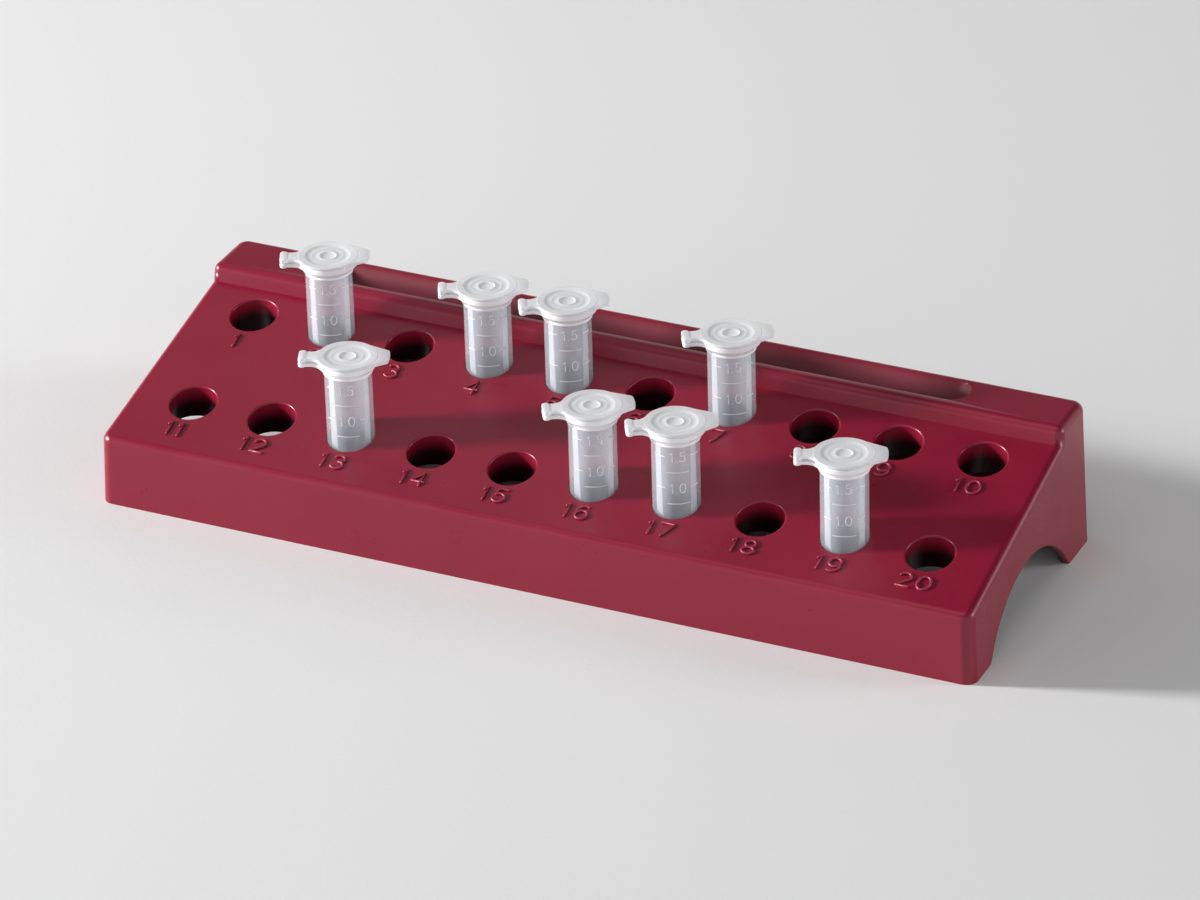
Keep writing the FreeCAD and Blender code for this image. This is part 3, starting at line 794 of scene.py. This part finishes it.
def mark_strokes(looks):
    """Moulded graduations: figures with short ticks at both sides, and thin lines between."""
    strokes = []
    for text, level in FIGURES:
        strokes += [[(x, level + y) for x, y in stroke]
                    for stroke in written(text, FIGURE_WIDTH, FIGURE_HEIGHT, FIGURE_GAP)]
        for side in (-1, 1):
            strokes.append([(side * (TICK_START + TICK_LENGTH * step / TICK_STEPS), level)
                            for step in range(TICK_STEPS + 1)])
    for level in LINES:
        strokes.append([(LINE_HALF_LENGTH * (2 * step / LINE_STEPS - 1), level)
                        for step in range(LINE_STEPS + 1)])
    return [[on_barrel(x, y, looks) for x, y in stroke] for stroke in strokes]


class RACK_OT_tubes(bpy.types.Operator):
    """Turn the clear tubes and stand them in their bores"""
    bl_idname = "microtube_rack.tubes"
    bl_label = "Tubes"

    def execute(self, context):
        looks = context.scene.tube_looks
        lids = sorted(HINGES)
        seats = [seat_of(lid, context.scene.lid_looks) for lid in lids]
        clear = clear_plastic("tube_plastic", looks.clear, straight=0.18, grazing=0.3, roughness=0.05)
        tube = one_tube(looks)
        piece = new_object("tubes", on_seats("tubes", tube, seats, clear))
        bpy.data.objects.remove(tube)
        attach(piece, "rack")
        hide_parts(*[lid.replace("lid", "tube") for lid in lids])

        frosted = clear_plastic("mark_plastic", MARK_WHITE, straight=0.65, grazing=0.85, roughness=0.3)
        mesh = beads("marks", mark_strokes(looks), looks.mark_stroke / 2, frosted)
        marks = new_object("one_set_of_marks", mesh)
        piece = new_object("graduations", on_seats("graduations", marks, seats, frosted))
        bpy.data.objects.remove(marks)
        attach(piece, "rack")
        return {"FINISHED"}


# lids

# Half the width of the thumb tab's blunt end, how far that end bulges, and how square its bulge is.
TAB_HALF_WIDTH, TAB_BULGE, TAB_SQUARENESS = 2.75, 0.62, 0.8
# The tab's shoulders leave the lid's round edge here, and its root follows the edge at this radius.
SHOULDER_X, SHOULDER_Y, ROOT_RADIUS = 3.45, 6.0, 6.0


def tab_outline(looks):
    """The thumb tab: straight shoulders from the round edge to a blunt rounded end."""
    start = looks.tab_reach / MM - TAB_BULGE
    end = [(start + TAB_BULGE * math.cos(math.radians(turn)) ** TAB_SQUARENESS,
            TAB_HALF_WIDTH * math.sin(math.radians(turn))) for turn in range(-88, 89, 8)]
    root = sweep(0.0, 0.0, ROOT_RADIUS, ROOT_RADIUS, 60, -60, 15)
    return [(SHOULDER_X, -SHOULDER_Y)] + end + [(SHOULDER_X, SHOULDER_Y)] + root


def lid_profile(looks):
    """The lid: its ringed top from the middle out, its edge, then its hollow plug and its underside."""
    radius, plug = looks.radius / MM, looks.plug / MM
    return [
        (0.0, 0.48), (1.6, 0.5), (1.8, 0.62), (1.95, 0.73), (2.15, 0.73), (2.3, 0.66),
        (3.4, 0.66), (3.6, 0.7), (3.8, 0.66), (4.9, 0.68), (5.15, 0.82), (5.4, 0.85),
        (radius - 0.15, 0.85), (radius, 0.7), (radius, 0.35), (radius - 0.12, 0.25),
        (radius - 0.35, 0.2), (radius - 0.4, 0.05), (plug + 0.1, 0.05), (plug, -0.1), (plug, -1.55),
        (plug - 0.2, -1.85), (plug - 0.4, -1.9), (plug - 0.6, -1.85), (plug - 0.8, -1.6),
        (plug - 0.8, 0.0), (plug - 0.95, 0.06), (0.0, 0.06),
    ]


def one_lid(looks):
    """One lid with its tab and its half of the strap and fold."""
    disc = turned("lid_disc", lid_profile(looks))
    tab = slab("lid_tab", tab_outline(looks), low=0.06, high=0.8, bevel=0.16)
    outline = strap_outline(STRAP_START_LID, STRAP_FLARE_LID)
    strap = slab("lid_strap", outline, low=0.06, high=0.8, bevel=0.12)
    fold = slab("lid_fold", fold_outline(), low=-0.15, high=0.9, bevel=0.22)
    return new_object("lid_whole", smoothed(joined("lid_whole", disc, tab, strap, fold), degrees=35))


class RACK_OT_lids(bpy.types.Operator):
    """Make the flip lids with their tabs, plugs and folds"""
    bl_idname = "microtube_rack.lids"
    bl_label = "Flip lids"

    def execute(self, context):
        looks = context.scene.lid_looks
        clear = clear_plastic("lid_plastic", looks.clear, straight=0.54, grazing=0.8, roughness=0.08)
        whole = one_lid(looks)
        for lid in sorted(HINGES):
            piece = new_object("flip_" + lid, on_seats("flip_" + lid, whole, [seat_of(lid, looks)], clear))
            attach(piece, lid)
            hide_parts(lid)
        bpy.data.objects.remove(whole)
        return {"FINISHED"}


# studio

# The photograph's camera: its turn round the rack, its height over the table and its roll in degrees.
AZIMUTH, ELEVATION, ROLL = 25.554, 29.01, -1.611
CAMERA_TARGET, CAMERA_DISTANCE = Vector((2.615, 0.0, 18.473)) * MM, 1.439145
FOCAL_LENGTH, SENSOR_WIDTH, FAR_CLIP = 190.23, 36.0, 20.0
FLOOR_HALF_SIZE = 4.0
# The key light's height over the table, and its turn from the rack's length, in degrees.
KEY_HEIGHT, KEY_TURN = 16.8, 19.0
# The room is bright low down and dark overhead, where "overhead" leans a little to the back.
OVERHEAD = (-0.05, 0.15, 0.98)
ROOM = ((0.3, (0.78, 0.78, 0.785, 1.0)), (0.6, (0.05, 0.05, 0.055, 1.0)))


def aim_camera(scene):
    """Set the camera at the photograph's angle."""
    azimuth, elevation, roll = (math.radians(value) for value in (AZIMUTH, ELEVATION, ROLL))
    back = Vector((math.sin(azimuth) * math.cos(elevation), -math.cos(azimuth) * math.cos(elevation),
                   math.sin(elevation)))
    right = Vector((0, 0, 1)).cross(back).normalized()
    up = back.cross(right)
    across = right * math.cos(roll) + up * math.sin(roll)
    upward = up * math.cos(roll) - right * math.sin(roll)
    camera = bpy.data.cameras.new("camera")
    camera.lens = FOCAL_LENGTH
    camera.sensor_width = SENSOR_WIDTH
    camera.clip_end = FAR_CLIP
    view = new_object("camera", camera)
    turn = Matrix((across, upward, back)).transposed()
    view.matrix_world = Matrix.Translation(CAMERA_TARGET + back * CAMERA_DISTANCE) @ turn.to_4x4()
    scene.camera = view


def lay_floor():
    """Lay a wide sheet of pale card under the rack."""
    bm = bmesh.new()
    bmesh.ops.create_grid(bm, x_segments=1, y_segments=1, size=FLOOR_HALF_SIZE)
    new_object("floor", mesh_from(bm, "floor"), pale_card())


def soft_lamp(name, direction, width, power, distance, target=(0, 0, 0.02)):
    """A square softbox that shines along a direction onto the target."""
    direction = Vector(direction)
    lamp = bpy.data.lights.new(name, "AREA")
    lamp.shape = "SQUARE"
    lamp.size = width
    lamp.energy = power
    obj = new_object(name, lamp)
    obj.location = Vector(target) - direction.normalized() * distance
    obj.rotation_euler = direction.to_track_quat("-Z", "Y").to_euler()
    obj.visible_camera = False


def hang_lamps():
    """Hang a low key light at the left, and three soft lights that open its shadows."""
    low, turn = math.radians(KEY_HEIGHT), math.radians(KEY_TURN)
    key = (math.cos(turn) * math.cos(low), math.sin(turn) * math.cos(low), -math.sin(low))
    soft_lamp("key_softbox", key, width=0.23, power=58.5, distance=1.9)
    soft_lamp("side_softbox", (-0.9, -0.4, -0.3), width=0.8, power=19.5, distance=2.5, target=(0.1, 0, 0.02))
    soft_lamp("fill_softbox", (0.05, 0.25, -1.0), width=1.8, power=9.5, distance=2.5)
    soft_lamp("top_softbox", (0.377, -0.473, -0.796), width=0.2, power=0.06, distance=0.4,
              target=(-0.05, -0.03, 0.02))


def light_room(scene):
    """Surround the scene with a room that is bright low down and dark overhead."""
    world = bpy.data.worlds.new("studio")
    scene.world = world
    world.use_nodes = True
    nodes, links = world.node_tree.nodes, world.node_tree.links
    where = nodes.new("ShaderNodeTexCoord")
    height = nodes.new("ShaderNodeVectorMath")
    height.operation = "DOT_PRODUCT"
    height.inputs[1].default_value = OVERHEAD
    ramp = nodes.new("ShaderNodeValToRGB")
    for stop, (position, shade) in zip(ramp.color_ramp.elements, ROOM):
        stop.position = position
        stop.color = shade
    links.new(where.outputs["Generated"], height.inputs[0])
    links.new(height.outputs["Value"], ramp.inputs["Fac"])
    links.new(ramp.outputs["Color"], nodes["Background"].inputs["Color"])


class RACK_OT_studio(bpy.types.Operator):
    """Set the camera at the photograph's angle, the floor and the soft light"""
    bl_idname = "microtube_rack.studio"
    bl_label = "Studio"

    def execute(self, context):
        scene = context.scene
        aim_camera(scene)
        lay_floor()
        hang_lamps()
        light_room(scene)
        scene.view_settings.view_transform = "Standard"
        return {"FINISHED"}


# panel and registration

OPERATORS = (RACK_OT_studio, RACK_OT_moulding, RACK_OT_numbers, RACK_OT_tubes, RACK_OT_lids)
GROUPS = {"rack_looks": RackLooks, "tube_looks": TubeLooks, "lid_looks": LidLooks}


class RACK_PT_panel(bpy.types.Panel):
    """Lists the pieces of the rack"""
    bl_idname = "RACK_PT_panel"
    bl_label = "Microtube rack"
    bl_space_type = "VIEW_3D"
    bl_region_type = "UI"
    bl_category = "Microtube rack"

    def draw(self, context):
        for operator in OPERATORS:
            self.layout.operator(operator.bl_idname)


def register():
    for item in (*GROUPS.values(), *OPERATORS, RACK_PT_panel):
        bpy.utils.register_class(item)
    for name, group in GROUPS.items():
        setattr(bpy.types.Scene, name, bpy.props.PointerProperty(type=group))


def unregister():
    for name in GROUPS:
        delattr(bpy.types.Scene, name)
    for item in reversed((*GROUPS.values(), *OPERATORS, RACK_PT_panel)):
        bpy.utils.unregister_class(item)


def main():
    register()
    for operator in OPERATORS:
        group, name = operator.bl_idname.split(".")
        getattr(getattr(bpy.ops, group), name)()


if __name__ == "__main__":
    main()
